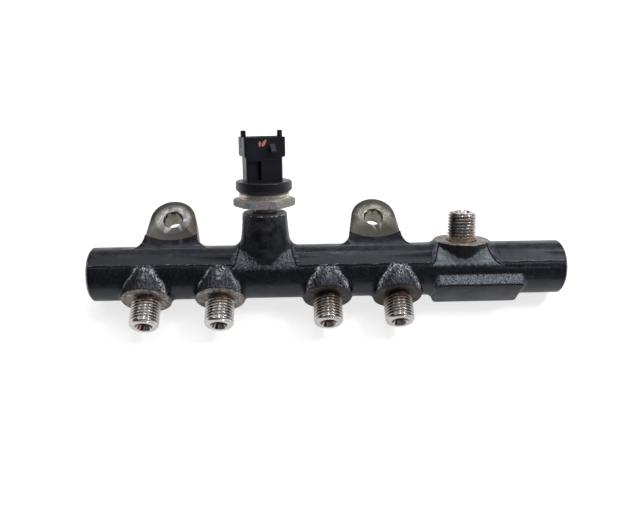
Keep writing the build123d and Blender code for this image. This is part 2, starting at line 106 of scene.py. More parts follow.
# Threaded stubs
PITCH = 1.5
THREAD_DEPTH = 0.92
SHOULDER = 0.6
NOSE = 1.5
NOSE_ROUND = 2.0
NOSE_RADIUS = 5.2
CONE_MOUTH = 4.2
CONE_DEPTH = 4.7
CONE_STEPS = 8
MOUTH_EDGE = 0.12  # width of the broken edge round the cone's mouth
PASSAGE = 1.5
PASSAGE_SHOWN = 4.0  # length of the passage that is made
TURN_STEPS = 96
THREAD_STEP = 0.08

# ---------------- places read from the frame
record = frame["record"]
mounts = {mount["name"]: mount for mount in record["mounts"]}
outlets = [mount for name, mount in mounts.items() if name.startswith("outlet_stub")]
inlet = mounts["inlet_stub"]
plug_low, plug_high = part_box("end_plug")
rail_low, rail_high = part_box("rail_body")
RAIL_Y = (plug_low.y + plug_high.y) / 2 / MM
RAIL_Z = (plug_low.z + plug_high.z) / 2 / MM
LEFT_END = rail_low.x / MM
RIGHT_END = rail_high.x / MM
LUG_X = mounts["lug_bolts"]["dims"]["spacing_x_mm"] / 2
SENSOR_X = -4.0
SENSOR_ORIGIN = (SENSOR_X, RAIL_Y, RAIL_Z)
INLET_X = inlet["pos_m"][0] / MM
OUTLET_X = [mount["pos_m"][0] / MM for mount in outlets]
UPPER_AXIS = np.array(inlet["axis"])
OUTLET_AXIS = np.array(outlets[0]["axis"], float)

# ---------------- marks on the surfaces
SHEAR_STRETCH = (1.0, 0.1, 0.1)  # the trimming die drew its marks out across the rail
DARKER_FROM = 5.0  # stretch of rail whose outlets are dark and dirty
DARKER_TO = 78.0
NECK_TOP = 33.2  # heights on the sensor are along its axis, from the rail's
SLEEVE_DARK = 39.1
SCRATCH_X = 2.7
PLUG_AXIS_X = -4.5
CONNECTOR_TURN = radians(18.0)
SHROUD_HALF_DEPTH = 6.25
ACROSS = np.array((0.0, UPPER_AXIS[2], -UPPER_AXIS[1]))
CONNECTOR_X_AXIS = np.array((1.0, 0.0, 0.0)) * cos(CONNECTOR_TURN) + ACROSS * sin(CONNECTOR_TURN)
CONNECTOR_FRONT = np.array((1.0, 0.0, 0.0)) * sin(CONNECTOR_TURN) - ACROSS * cos(CONNECTOR_TURN)
SHROUD_FRONT = np.array((PLUG_AXIS_X, RAIL_Y, RAIL_Z)) + CONNECTOR_FRONT * SHROUD_HALF_DEPTH
DABS = (  # place across, height, half width, half height, slant
    (-2.6, 62.5, 0.50, 1.2, 0.05),
    (-0.7, 63.1, 0.75, 1.4, 0.42),
)

# ---------------- studio, metres where it doesn't say otherwise
CAMERA_DISTANCE = 308.78 * MM
CAMERA_TILT = radians(30.65)  # away from straight down, towards the outlets
CAMERA_YAW = radians(2.19)
CAMERA_ROLL = radians(1.02)
CAMERA_SHIFT = (-0.02 * MM, 3.66 * MM)
SENSOR_WIDTH = 36.0
FOCAL_PIXELS = 617.99
FRAME_PIXELS = 632
VIEW_CENTRE_X = 20.745  # millimetres
FLOOR_HALF = 3.0
FLOOR_GAP = 0.0003
LAMPS = (  # name, place, size, radiance
    ("overhead", (0.05, 0.36, 0.70), (1.3, 0.8), 0.62),
    ("ridge_strip", (0.03, 0.39, 0.69), (0.045, 0.5), 9.0),
    ("right_glint", (0.40, 0.05, 0.45), (0.10, 0.10), 24.0),
    ("right_strip", (0.52, 0.32, 0.40), (0.05, 0.30), 5.0),
    ("left_strip", (-0.48, 0.32, 0.40), (0.05, 0.30), 4.0),
)


# ---------------- small helpers
def fade(value, start, end):
    """0 at start, 1 at end, smooth between, for numbers or arrays."""
    share = np.clip((value - start) / (end - start), 0, 1)
    return share * share * (3 - 2 * share)


def grain(points, where, size, octaves=3, seed=0.0):
    """Fractal noise of about -1 to 1 at the chosen points and 0 at others, with lumps of the given size."""
    values = np.zeros(len(points))
    spots = points[where] / size + np.array((seed, 2 * seed, 3 * seed))
    values[where] = [noise.fractal(spot, 1.0, 2.0, octaves) for spot in spots.tolist()]
    return values


def unit_rows(vectors):
    """Rows scaled to a length of 1."""
    return vectors / np.maximum(np.linalg.norm(vectors, axis=1, keepdims=True), 1e-9)


def from_boss(points, x, axis):
    """(distance from the axis of a boss, height along it)."""
    rel = points - np.array((x, RAIL_Y, RAIL_Z))
    height = rel @ axis
    away = np.linalg.norm(rel - height[:, None] * axis, axis=1)
    return away, height


def from_tube(points):
    """Distance from the long axis."""
    return np.hypot(points[:, 1] - RAIL_Y, points[:, 2] - RAIL_Z)


def add_piece(name, points, faces):
    """New mesh object from points, riding on the part's one body."""
    mesh = bpy.data.meshes.new(name)
    mesh.from_pydata((points * MM).tolist(), [], faces.tolist())
    mesh.update()
    piece = bpy.data.objects.new(name, mesh)
    bpy.context.scene.collection.objects.link(piece)
    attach(piece, "root")
    mesh.shade_smooth()
    return piece


def add_layer(piece, name, values):
    """Per-vertex number that a material reads by name."""
    layer = piece.data.attributes.new(name, "FLOAT", "POINT")
    layer.data.foreach_set("value", np.asarray(values, np.float32))


# ---------------- node materials
def operation(name):
    """Method of a number that adds a Math node."""
    return lambda number, *others: number.nodes.math(name, number, *others)


class Number:
    """A number made by shader nodes, which takes part in arithmetic as a plain number does."""

    def __init__(self, nodes, socket):
        self.nodes, self.socket = nodes, socket

    __add__ = __radd__ = operation("ADD")
    __mul__ = __rmul__ = operation("MULTIPLY")
    __sub__ = operation("SUBTRACT")
    __truediv__ = operation("DIVIDE")
    __abs__ = operation("ABSOLUTE")

    def __rsub__(self, other):
        return self.nodes.math("SUBTRACT", other, self)

    def ramp(self, start, end, low=0.0, high=1.0, smooth=True):
        """Maps start..end to low..high, clamped."""
        settings = {"interpolation_type": "SMOOTHSTEP" if smooth else "LINEAR"}
        limits = {"From_Min": start, "From_Max": end, "To_Min": low, "To_Max": high}
        made = self.nodes.node("ShaderNodeMapRange", settings, Value=self, **limits)
        return Number(self.nodes, made.outputs["Result"])

    def window(self, start, full, still_full, end):
        """1 from full to still_full, and 0 before start and after end."""
        return self.ramp(start, full) * self.ramp(still_full, end, 1.0, 0.0)


class Nodes:
    """Adds nodes to one node tree. Colours are linear, sizes are in millimetres."""

    def __init__(self, tree):
        self.tree = tree

    def connect(self, socket, value):
        """Links what other nodes made to a socket, or sets a constant on it."""
        if isinstance(value, Number):
            value = value.socket
        if hasattr(value, "is_linked"):
            self.tree.links.new(value, socket)
        elif hasattr(value, "__len__") and len(value) == 3 and len(socket.default_value) == 4:
            socket.default_value = (*value, 1)
        else:
            socket.default_value = value

    def node(self, kind, settings=None, **inputs):
        """Adds a node and fills its sockets by name."""
        made = self.tree.nodes.new(kind)
        for key, value in (settings or {}).items():
            setattr(made, key, value)
        for key, value in inputs.items():
            self.connect(made.inputs[key.replace("_", " ")], value)
        return made

    def math(self, operation, first, second=0.0, clamp=False):
        made = self.node("ShaderNodeMath", {"operation": operation, "use_clamp": clamp})
        self.connect(made.inputs[0], first)
        self.connect(made.inputs[1], second)
        return Number(self, made.outputs[0])

    def parts(self, vector):
        """X, Y and Z of a vector."""
        return [Number(self, part) for part in self.node("ShaderNodeSeparateXYZ", Vector=vector).outputs]

    def mix(self, share, first, second):
        """Blends two colours."""
        made = self.node("ShaderNodeMix", {"data_type": "RGBA"})
        for index, value in ((0, share), (6, first), (7, second)):
            self.connect(made.inputs[index], value)
        return made.outputs[2]

    def blend(self, share, first, second):
        """Blends two numbers."""
        made = self.node("ShaderNodeMix")
        for index, value in ((0, share), (2, first), (3, second)):
            self.connect(made.inputs[index], value)
        return Number(self, made.outputs[0])


class Shader(Nodes):
    """Builds one material round a Principled BSDF, whose constants are given by name."""

    def __init__(self, name, **inputs):
        self.material = bpy.data.materials.new(name)
        self.material.use_nodes = True
        super().__init__(self.material.node_tree)
        self.surface = self.tree.nodes["Principled BSDF"]
        self.coordinates = self.tree.nodes.new("ShaderNodeTexCoord").outputs["Object"]
        for socket, value in inputs.items():
            self.put(socket.replace("_", " "), value)

    def put(self, socket, value):
        """Sets or links one socket of the surface."""
        self.connect(self.surface.inputs[socket], value)

    def finish(self, color, roughness):
        """Sets what every surface has, and gives the material."""
        self.put("Base Color", color)
        self.put("Roughness", roughness)
        return self.material

    def layer(self, name):
        """Number stored on the mesh."""
        return Number(self, self.node("ShaderNodeAttribute", {"attribute_name": name}).outputs["Fac"])

    def noise(self, size, detail=3.0, roughness=0.55, stretch=(1, 1, 1)):
        """Noise of 0 to 1 with lumps of the given size."""
        scale = tuple(s / (size * MM) for s in stretch)
        moved = self.node("ShaderNodeMapping", Vector=self.coordinates, Scale=scale)
        made = self.node("ShaderNodeTexNoise", Vector=moved.outputs[0], Scale=1.0, Detail=detail,
                         Roughness=roughness)
        return Number(self, made.outputs["Fac"])

    def bands(self, distance, per_mm):
        """Uneven bands of 0 to 1 across a distance."""
        made = self.node("ShaderNodeTexNoise", {"noise_dimensions": "1D"}, W=distance * per_mm, Scale=1.0,
                         Detail=2.0)
        return Number(self, made.outputs["Fac"])

    def cells(self, size):
        """Distance to the nearest of many scattered points."""
        made = self.node("ShaderNodeTexVoronoi", Vector=self.coordinates, Scale=1 / (size * MM))
        return Number(self, made.outputs["Distance"])

    def relief(self, height, depth):
        """Adds a bump from a height of 0 to 1, on top of those before it."""
        made = self.node("ShaderNodeBump", Strength=1.0, Distance=depth * MM, Height=height)
        normal = self.surface.inputs["Normal"]
        if normal.is_linked:
            self.connect(made.inputs["Normal"], normal.links[0].from_socket)
        self.connect(normal, made.outputs[0])

    def place(self):
        """X, Y and Z in the part's frame."""
        scaled = self.node("ShaderNodeVectorMath", {"operation": "SCALE"}, Scale=1 / MM)
        self.connect(scaled.inputs[0], self.coordinates)
        return self.parts(scaled.outputs[0])

    def along(self, origin, axis):
        """Distance along an axis from a point."""
        total = -float(np.dot(origin, axis))
        for part, share in zip(self.place(), axis):
            total = total + part * float(share)
        return total


def painted_forging():
    """Black paint over a hot-forged skin: smooth on top, scaly on the die side, sheared on the trim land."""
    paint = Shader("painted_forging", Specular_IOR_Level=0.6, Specular_Tint=(0.82, 0.86, 1.0, 1.0))
    rough, pale, land = paint.layer("scaly"), paint.layer("pale"), paint.layer("land")
    flat, dark, chips = paint.layer("flat"), paint.layer("dark"), paint.layer("chips")
    cloud = paint.noise(9.0)
    fine = paint.noise(0.8, detail=4.0, roughness=0.7)
    coarse = paint.noise(1.3, detail=1.5, roughness=0.6, stretch=(1.0, 0.6, 1.0))
    specks = paint.noise(0.6, detail=2.0, roughness=0.7)
    haze = paint.noise(5.0, detail=5.0, stretch=(0.5, 1.6, 1.6)).ramp(0.52, 0.72)
    drift = paint.noise(4.0, detail=4.0, roughness=0.65).ramp(0.36, 0.66)
    base = paint.mix(cloud, (0.0044, 0.0043, 0.0078), (0.008, 0.008, 0.0125))
    base = paint.mix(haze * 0.5, base, (0.019, 0.020, 0.028))
    base = paint.mix(paint.layer("hazy") * drift, base, (0.066, 0.068, 0.083))

    dark_scale = paint.mix(coarse.ramp(0.4, 0.66), (0.005, 0.006, 0.009), (0.056, 0.067, 0.083))
    scale_share = coarse.ramp(0.3, 0.7, 0.0, 0.75)
    # Pale scale on the upper bosses' feet, the inlet and the clamp pad: partly the scale's own tone, partly
    # painted sheen where the rough skin faces the lamps, with its bright specks as painted sparkle
    pale_sheen_scale = paint.mix(scale_share, (0.070, 0.080, 0.094), (0.165, 0.185, 0.22))
    pale_sheen_scale = paint.mix(specks.ramp(0.52, 0.64), pale_sheen_scale, (0.34, 0.38, 0.42))
    pale_sheen_scale = paint.mix(specks.ramp(0.40, 0.48, 0.7, 0.0), pale_sheen_scale, (0.022, 0.025, 0.031))
    # Painted light: the inlet boss's front made lighter, as it faces away from the lamps
    pale_sheen_scale = paint.mix(paint.layer("frost") * 0.45, pale_sheen_scale, (0.42, 0.47, 0.52))
    color = paint.mix(rough, base, paint.mix(pale, dark_scale, pale_sheen_scale))
    drawn = paint.noise(1.0, stretch=SHEAR_STRETCH)
    color = paint.mix(land, color, paint.mix(drawn, (0.012, 0.014, 0.0165), (0.029, 0.0345, 0.0375)))
    # The clamp pad's flat is a lighter grey
    flat_grey = paint.mix(cloud.ramp(0.35, 0.65), (0.135, 0.139, 0.143), (0.215, 0.219, 0.224))
    color = paint.mix(flat, color, flat_grey)
    # Painted highlight: bluish-white lines along the boss seams, the lugs' crease, the groove lips and the
    # faint parting lines on the right
    color = paint.mix(paint.layer("fold"), color, (0.44, 0.49, 0.62))
    # Painted glints: near-white specks on the outlet bosses, where their scale would catch the lamps
    painted_glint_specks = paint.noise(0.75, detail=2.0, roughness=0.7, stretch=(1.0, 0.6, 1.0)).ramp(0.48, 0.57)
    color = paint.mix(paint.layer("glint") * painted_glint_specks, color, (0.88, 0.93, 1.0))

    # The rim of the sensor boss was turned bare, with a broken edge below it whose dashed bright line is worn
    # paint and painted highlight
    height = paint.along(SENSOR_ORIGIN, UPPER_AXIS)
    rim = SENSOR_FACE - BARE_RIM
    on_boss = abs(paint.place()[0] - SENSOR_X).ramp(14.0, 15.0, 1.0, 0.0)
    turned = paint.mix(paint.noise(1.6, detail=3.0).ramp(0.4, 0.6), (0.17, 0.17, 0.17), (0.27, 0.27, 0.27))
    color = paint.mix(on_boss * height.ramp(rim - 0.12, rim), color, turned)
    # Painted highlight in dashes along the broken edge, where the paint is worn
    edge = abs(height - (rim - 0.25)).ramp(0.12, 0.32, 1.0, 0.0) * on_boss
    edge = edge * paint.noise(0.9, detail=1.0).ramp(0.44, 0.54)
    color = paint.mix(edge, color, (0.92, 0.93, 0.98))
    # Painted shade: near black in the undercut below the trim land, in the grooves beside the upper bosses,
    # under the clamp pad's edge and on the left flanks of the first two outlet bosses
    color = paint.mix(dark, color, (0.0015, 0.0015, 0.002))
    color = paint.mix(chips, color, (0.36, 0.345, 0.33))

    gloss = paint.blend(rough, cloud.ramp(0.3, 0.7, 0.24, 0.38), fine.ramp(0.35, 0.65, 0.14, 0.34))
    gloss = paint.blend(flat, paint.blend(land, gloss, 0.5), 0.42)
    paint.put("Metallic", chips * 0.8)
    paint.relief(paint.noise(3.6), 0.16)
    paint.relief(coarse, (rough + 0.03) * (1.0 - pale * 0.6) * 0.9)
    paint.relief(fine, rough * 0.2)
    paint.relief(paint.noise(0.8, stretch=SHEAR_STRETCH), land * 0.14)
    return paint.finish(color, paint.blend(dark, gloss, 0.9))


def lug_steel(name, lug_x, polished):
    """Spot-faced steel round a bolt hole, with lathe rings and brown stains."""
    steel = Shader(name, Metallic=0.85, Anisotropic=0.55)
    x, y, _ = steel.place()
    toward = x - lug_x
    away = steel.math("SQRT", toward * toward + y * y)
    # The lathe marks run round the hole, so the gloss is drawn out across them
    round_way = steel.node("ShaderNodeCombineXYZ", X=y * -1.0, Y=toward)
    unit = steel.node("ShaderNodeVectorMath", {"operation": "NORMALIZE"})
    steel.connect(unit.inputs[0], round_way.outputs[0])
    steel.put("Tangent", unit.outputs[0])
    stain = steel.noise(2.2, detail=5.0, roughness=0.62)
    freckles = steel.noise(0.45, detail=2.0)
    rings = steel.bands(away, 1.7)
    ring = rings.ramp(0.32, 0.68)
    if polished:
        outside = away.ramp(BOLT_HEAD_RADIUS - 0.15, BOLT_HEAD_RADIUS + 0.1)
        side = steel.math("MAXIMUM", toward.ramp(3.0, 10.0), toward.ramp(-6.5, -11.0, 0.0, 0.6))
        clean = steel.mix(ring, (0.33, 0.31, 0.28), (0.47, 0.45, 0.415))
        footprint = steel.mix(ring, (0.41, 0.41, 0.40), (0.53, 0.53, 0.53))
        clean = steel.mix(outside, footprint, clean)
        speckled = side * freckles.ramp(0.42, 0.6)
        amount = steel.math("ADD", speckled, stain.ramp(0.56, 0.75, 0.0, 0.5), clamp=True)
        amount = amount * away.ramp(8.4, 9.3, 0.04, 1.0)
        head_mark = away.window(8.7, 9.0, 9.2, 9.6)
        clean = steel.mix(head_mark * 0.55, clean, (0.20, 0.155, 0.115))
        steel.relief(outside, 0.08)
    else:
        clean = steel.mix(ring.ramp(0.0, 1.0, 0.3, 0.7), (0.30, 0.285, 0.235), (0.435, 0.425, 0.375))
        amount = stain.ramp(0.46, 0.70) * ring.ramp(0.0, 1.0, 1.0, 0.4)
        amount = steel.math("ADD", amount, freckles.ramp(0.62, 0.72, 0.0, 0.3), clamp=True)
    brown = steel.mix(freckles, (0.20, 0.145, 0.09), (0.36, 0.285, 0.20))
    steel.relief(rings, 0.012)
    steel.relief(freckles, 0.03)
    gloss = steel.blend(amount, rings.ramp(0.3, 0.7, 0.36, 0.46), 0.6)
    return steel.finish(steel.mix(amount, clean, brown), gloss)


def stained_steel(name, light, dark, roughness=0.45, metallic=0.8, made_darker=False):
    """Machined steel with uneven brown staining, darkened on the outlets right of the sensor when that is asked
    for.
    """
    steel = Shader(name, Metallic=metallic)
    share = steel.noise(2.0, detail=5.0, roughness=0.65).ramp(0.38, 0.62)
    color = steel.mix(share, light, dark)
    if made_darker:
        # Darker on the outlets right of the sensor
        darker_outlets = steel.place()[0].window(DARKER_FROM, DARKER_FROM + 10.0, DARKER_TO - 6.0, DARKER_TO)
        color = steel.mix(darker_outlets * 0.9, color, (0.06, 0.053, 0.05))
    color = steel.mix(steel.cells(0.7).ramp(0.1, 0.45), (0.05, 0.04, 0.035), color)
    steel.relief(steel.noise(0.5), 0.05)
    return steel.finish(color, steel.blend(share, roughness, roughness + 0.15))


def thread_steel():
    """Rolled thread: bright crests, brown roots, rust towards the flange and a streaked cone seat."""
    steel = Shader("thread_steel", Metallic=1.0)
    rise, seat = steel.layer("rise"), steel.layer("seat")
    blotch = steel.noise(2.2, detail=4.0)
    rust = rise.ramp(0.12, 0.5, 1.0, 0.0) * blotch.ramp(0.38, 0.62)
    deep = steel.layer("root").ramp(0.15, 0.8) * blotch.ramp(0.25, 0.7, 0.7, 1.0)
    color = steel.mix(steel.noise(0.8), (0.64, 0.625, 0.605), (0.82, 0.805, 0.785))
    color = steel.mix(deep, color, (0.26, 0.24, 0.225))
    color = steel.mix(rust, color, (0.26, 0.15, 0.09))

    x, y, _ = steel.place()
    on_outlets = y.ramp(RAIL_Y - 4, RAIL_Y, 1.0, 0.0)
    dirt = x.ramp(DARKER_FROM, DARKER_FROM + 5.0) * on_outlets * rise.ramp(0.2, 0.85, 0.75, 0.2)
    color = steel.mix(dirt, color, (0.17, 0.125, 0.10))
    on_inlet = y.ramp(RAIL_Y, RAIL_Y + 4)
    # Painted dark reflection down the left side of the inlet thread
    made_darker = on_inlet * x.ramp(INLET_X - 5.4, INLET_X - 2.6, 1.0, 0.0)
    browned = on_inlet * blotch.ramp(0.45, 0.6, 0.0, 0.5)
    # Painted light: the inlet thread made lighter, as it faces away from the lamps
    color = steel.mix(on_inlet * 0.35, color, (0.92, 0.90, 0.92))
    color = steel.mix(browned, color, (0.42, 0.25, 0.17))
    color = steel.mix(made_darker * 0.8, color, (0.10, 0.098, 0.10))
    collar = on_inlet * rise.ramp(0.155, 0.185, 1.0, 0.0)
    gold = steel.mix(blotch.ramp(0.4, 0.62), (0.86, 0.72, 0.55), (0.62, 0.45, 0.30))
    color = steel.mix(collar, color, gold)

    # The cone seat: dark red on the outlets and grey on the inlet, redder deeper down, with light streaks round
    # it
    seat_base = steel.mix(on_inlet, (0.09, 0.018, 0.016), (0.12, 0.10, 0.10))
    deep_seat = steel.mix(on_inlet, (0.30, 0.055, 0.048), (0.12, 0.10, 0.10))
    cone = steel.mix(steel.layer("streak"), seat_base, (0.92, 0.92, 0.94))
    cone = steel.mix(seat.ramp(0.3, 0.6), cone, deep_seat)
    color = steel.mix(seat.ramp(0.02, 0.1), color, cone)
    gloss = steel.blend(rust, steel.blend(deep, 0.16, 0.3), 0.45)
    gloss = steel.blend(collar, gloss, 0.24)
    steel.relief(steel.noise(0.9), 0.012)
    return steel.finish(color, steel.blend(rise.ramp(0.86, 0.9), gloss, 0.13))


def turned_steel(name, color, roughness, tint=None):
    """Turned or drawn steel with a light, uneven film."""
    steel = Shader(name, Metallic=1.0)
    film = steel.noise(3.0, detail=4.0)
    tint = tint or tuple(0.8 * c for c in color)
    steel.relief(steel.noise(0.5, stretch=(0.35, 1.0, 1.0)), 0.02)
    color = steel.mix(film.ramp(0.35, 0.65), color, tint)
    return steel.finish(color, film.ramp(0.3, 0.7, roughness - 0.06, roughness + 0.08))


def moulded_plastic(name, color, roughness):
    """Moulded plastic with a fine eroded texture and faint flow clouds."""
    plastic = Shader(name, Specular_IOR_Level=0.5)
    cloud = plastic.noise(7.0)
    plastic.relief(plastic.noise(0.35, detail=2.0), 0.02)
    color = plastic.mix(cloud, tuple(0.8 * c for c in color), color)
    return plastic.finish(color, cloud.ramp(0.3, 0.7, roughness - 0.05, roughness + 0.06))


# ---------------- forging skin
def mesh_arrays(node):
    """Points and normals in millimetres, faces, and the shared number of points that coincide."""
    mesh = frame["nodes"][node].data
    points = np.empty(len(mesh.vertices) * 3)
    mesh.vertices.foreach_get("co", points)
    points = points.reshape(-1, 3) / MM
    mesh.calc_loop_triangles()
    corners = np.empty(len(mesh.loop_triangles) * 3, int)
    mesh.loop_triangles.foreach_get("vertices", corners)
    loops = np.empty(len(mesh.loop_triangles) * 3, int)
    mesh.loop_triangles.foreach_get("loops", loops)
    directions = np.empty(len(mesh.loops) * 3)
    mesh.corner_normals.foreach_get("vector", directions)
    normals = np.zeros_like(points)
    np.add.at(normals, corners, directions.reshape(-1, 3)[loops])
    shared = np.unique(np.round(points, 4), axis=0, return_inverse=True)[1].ravel()
    return points, unit_rows(normals), corners.reshape(-1, 3), shared


def unique_pairs(pairs):
    """Different rows of a two-column table, and which of them each row is."""
    span = int(pairs.max()) + 1
    keys, which = np.unique(pairs[:, 0] * span + pairs[:, 1], return_inverse=True)
    return np.stack([keys // span, keys % span], axis=1), which.ravel()


def refine(points, normals, faces, shared, longest):
    """Halves every edge longer than longest(middle), bending new points onto the smooth surface.

    Points with one shared number stay together, so the skin never cracks along a hard edge.
    """
    for _ in range(14):
        sides = np.sort(np.stack([faces, np.roll(faces, -1, axis=1)], axis=2).reshape(-1, 2), axis=1)
        edges, side_edge = unique_pairs(sides)
        first, second = points[edges[:, 0]], points[edges[:, 1]]
        middle = (first + second) / 2
        cut = np.linalg.norm(second - first, axis=1) > longest(middle)
        if not cut.any():
            break
        first, second, middle, chosen = first[cut], second[cut], middle[cut], edges[cut]
        lean_1, lean_2 = normals[chosen[:, 0]], normals[chosen[:, 1]]
        off_1 = np.sum((middle - first) * lean_1, axis=1, keepdims=True) * lean_1
        off_2 = np.sum((middle - second) * lean_2, axis=1, keepdims=True) * lean_2
        middle = middle - (off_1 + off_2) / 4
        pair = np.sort(shared[chosen], axis=1)
        together = unique_pairs(pair)[1]
        total = np.zeros((together.max() + 1, 3))
        np.add.at(total, together, middle)
        middle = (total / np.bincount(together)[:, None])[together]
        new = np.full(len(edges), -1)
        new[cut] = len(points) + np.arange(len(middle))
        new = new[side_edge].reshape(-1, 3)
        shared = np.concatenate([shared, shared.max() + 1 + together])
        points = np.vstack([points, middle])
        normals = np.vstack([normals, unit_rows(lean_1 + lean_2)])
        faces = split_faces(faces, new)
    return points, normals, faces, shared


def split_faces(faces, new):
    """Triangles after some of their sides got a new middle point; new is -1 where a side stays whole."""
    made = [faces[(new < 0).all(axis=1)]]
    for turn in range(3):
        a, b, c = np.roll(faces, -turn, axis=1).T
        ab, bc, ca = np.roll(new, -turn, axis=1).T
        one = (ab >= 0) & (bc < 0) & (ca < 0)
        made += [np.stack([a, ab, c], 1)[one], np.stack([ab, b, c], 1)[one]]
        two = (ab >= 0) & (bc >= 0) & (ca < 0)
        made += [np.stack([a, ab, c], 1)[two], np.stack([ab, bc, c], 1)[two], np.stack([ab, b, bc], 1)[two]]
    a, b, c = faces.T
    ab, bc, ca = new.T
    every = (new >= 0).all(axis=1)
    for corner in ((a, ab, ca), (ab, b, bc), (ca, bc, c), (ab, bc, ca)):
        made.append(np.stack(corner, 1)[every])
    return np.vstack(made)


def beyond(place, border):
    """A border's value at each place, from its pairs."""
    return np.interp(place, *zip(*border))


def hump(distance, width):
    """1 at a distance of 0, falling off smoothly over about the width."""
    return np.exp(-((distance / width) ** 2))


def past_fold(points):
    """Distance across an outlet boss past the fold where its raw skin ends; FAR away from the bosses."""
    x, y, z = points.T
    out = RAIL_Y - y
    nearest = np.full(len(points), FAR)
    for boss_x in OUTLET_X:
        across = np.abs(x - boss_x)
        wobble = 0.12 * np.sin(1.3 * out + boss_x) + 0.08 * np.sin(2.9 * out + 1.7 * x)
        past = across - beyond(out, OUTLET_SKIN) - wobble
        top_edge = np.where(z > RAIL_Z, beyond(boss_x, LAND_LOWER_EDGE) - 0.15, 2.6)
        here = (np.abs(z - RAIL_Z) > 4.4) & (out > top_edge) & (across < BOSS_REACH)
        nearest = np.where(here, past, nearest)
    return nearest


def boss_side(points):
    """The shaded left flank of the raw skin on the first two bosses."""
    inside = fade(past_fold(points), -0.5, -1.3)
    shade = np.zeros(len(points))
    for boss_x, amount in zip(OUTLET_X, LEFT_SHADE):
        across = points[:, 0] - boss_x
        here = amount * (1 - fade(across, -4.0, -1.0)) * inside
        shade = np.where(np.abs(across) < BOSS_REACH, here, shade)
    return shade


def boss_painted_glint(points):
    """Where painted glints lie: inside the folds, down the middle and along the trimmed edge."""
    out = RAIL_Y - points[:, 1]
    past = past_fold(points)
    glint = np.zeros(len(points))
    for boss_x, right, centre, left in zip(OUTLET_X, RIGHT_PAINTED_GLINT, MIDDLE_PAINTED_GLINT, LEFT_PAINTED_GLINT):
        across = points[:, 0] - boss_x
        band = hump(past + 1.1, 1.2) * np.where(across > 0, right, left)
        down = hump(across - 0.5, 1.6) * (1 - fade(out, 9.0, 12.5)) * centre
        top = (1 - fade(out, 4.6, 6.0)) * (np.abs(across) < 6)
        line = hump(past + 0.1, 0.4) * (across < 0) * (out > 4.6) * (out < 12.0)
        glint = np.where(np.abs(across) < BOSS_REACH, band + down + 0.6 * top + 1.5 * line, glint)
    return np.clip(glint, 0, 1)


def boss_zone(points):
    """How strongly each point belongs to the rough skin on the outlet bosses."""
    return 1 - fade(past_fold(points), -0.25, 0.15)


def pad_zone(points):
    """The rough sloping top of the clamp pad; its flat is smoother."""
    x, depth = points[:, 0], RAIL_Y - points[:, 1]
    inside = fade(x, PAD_LEFT, PAD_LEFT + 1.5) * (1 - fade(x, PAD_RIGHT - 1.5, PAD_RIGHT))
    proud = fade(from_tube(points), TUBE_RADIUS + 0.02, TUBE_RADIUS + 0.3)
    return inside * proud * fade(depth, 4.0, 6.0) * (1 - fade(depth, PAD_FLAT + 0.05, PAD_FLAT + 0.35))


def pad_flat(points):
    """The smoother flat at the front of the clamp pad, and its run-out at the right end."""
    x, depth = points[:, 0], RAIL_Y - points[:, 1]
    inside = fade(x, PAD_LEFT + 1.5, PAD_LEFT + 3.0) * (1 - fade(x, PAD_RIGHT + 2.0, PAD_RIGHT + 4.0))
    return inside * fade(depth, PAD_FLAT, PAD_FLAT + 0.3)


def inside_upper(points):
    """(margin to the sides, margin to the turned part, margin to the foot) of an upper boss's raw skin."""
    x, y, z = points.T
    margins = np.full((len(points), 3), -FAR)
    for boss_x in (SENSOR_X, INLET_X):
        across = x - boss_x
        height = from_boss(points, boss_x, UPPER_AXIS)[1]
        if boss_x == INLET_X:
            side = np.where(across < 0, beyond(height, INLET_LEFT), beyond(height, INLET_RIGHT))
            turned = beyond(across, INLET_TURNED)
        else:
            side = beyond(height, SENSOR_SIDE)
            turned = beyond(np.abs(across - 0.3), SENSOR_TURNED)
        foot = y - (RAIL_Y - RAW_FOOT)
        ragged = 0.22 * np.sin(1.9 * across) + 0.15 * np.sin(4.3 * across + 1.0)
        here = (np.abs(across) < TOP_REACH) & (z > RAIL_Z + 8) & (y < RAIL_Y + 9) & (height < 15.5)
        found = np.stack([side - np.abs(across), turned - height + ragged, foot + ragged], axis=1)
        margins = np.where(here[:, None], found, margins)
    return margins


def upper_zone(points):
    """Raw skin round the foot of the two upper bosses, on the front below the turned part."""
    side, turned, foot = inside_upper(points).T
    return fade(side, -0.1, 0.2) * fade(turned, -0.15, 0.25) * fade(foot, -0.8, 0.8)


def upper_groove(points):
    """(groove, lip) that run down beside the raw skin of an upper boss: 1 in the middle of each."""
    side, turned, foot = inside_upper(points).T
    along = fade(foot, -0.3, 0.3) * fade(turned, -3.0, -1.5)
    return along * hump(side + 0.3, 0.28), along * hump(side + 0.95, 0.3)


def seam_fold(points):
    """Thin ridge where the skin of an outlet boss folds over onto the tube."""
    out = RAIL_Y - points[:, 1]
    return fade(out, 2.8, 3.6) * (1 - fade(out, 12.5, 14.0)) * hump(past_fold(points), FOLD_WIDTH)


def lug_crease(points):
    """Fine line along the tube's top where the lugs' trimmed web begins."""
    x, y, z = points.T
    across = y - RAIL_Y - LUG_WEB - 0.15 * np.sin(x * 0.9) - 0.1 * np.sin(x * 2.3 + 1.0)
    reach = np.zeros(len(points))
    for lug_x in (-LUG_X, LUG_X):
        reach = np.maximum(reach, 1 - fade(np.abs(x - lug_x), LUG_REACH - 5.0, LUG_REACH))
    return (z > RAIL_Z + 6) * reach * hump(across, 0.22)


def past_land(points):
    """Distance past the lower edge of the trim land, towards the front; FAR away from it."""
    x, y, z = points.T
    front = (z - RAIL_Z > 8.0) & (y < RAIL_Y)
    edge = beyond(x, LAND_LOWER_EDGE) + 0.12 * np.sin(0.55 * x) + 0.07 * np.sin(1.7 * x + 2.0)
    return np.where(front & (upper_zone(points) < 0.5), RAIL_Y - edge - y, FAR)


